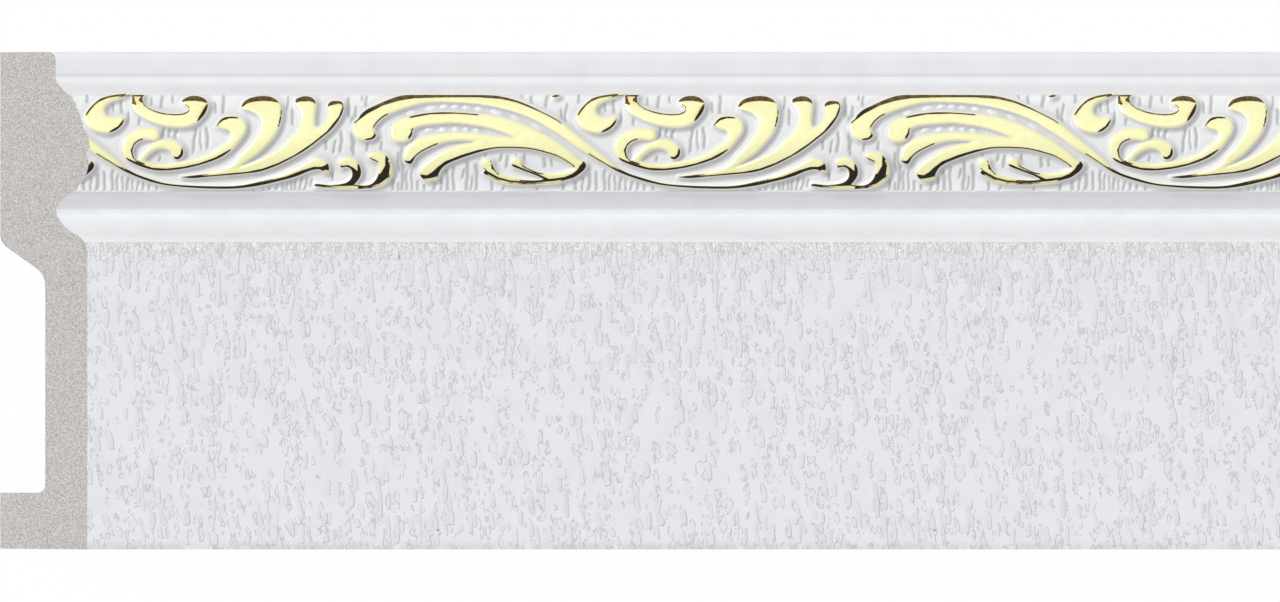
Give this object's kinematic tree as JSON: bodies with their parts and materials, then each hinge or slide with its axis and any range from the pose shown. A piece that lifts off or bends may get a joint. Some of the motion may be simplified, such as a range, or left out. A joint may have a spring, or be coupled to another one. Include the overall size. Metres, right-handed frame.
{
  "type": "skirting board",
  "caption": "White moulded skirting board with a cable channel in its back, a mitred end and a band of gilded acanthus scrolls on a crackled field",
  "frame": {"origin": "centre of the bounding box's base, in the plane of the wall face, half way along the board and half way up it", "axes": "+X along the board towards its square end, +Y up the wall towards the top edge, +Z out of the wall towards the decorated face"},
  "size_m": [2.4, 0.095, 0.017],
  "materials": {
    "white_coat": "satin white coat over foamed polystyrene, moulded with small drips and a crackled band",
    "foam_core": "raw foamed polystyrene, warm grey with a fine speckle, on the back and the cut ends",
    "gold_foil": "pale yellow gold foil, hot stamped on the raised leaves, dark on their steep edges"
  },
  "bodies": {
    "root": {"skirting_board": "white_coat"}
  },
  "joints": []
}
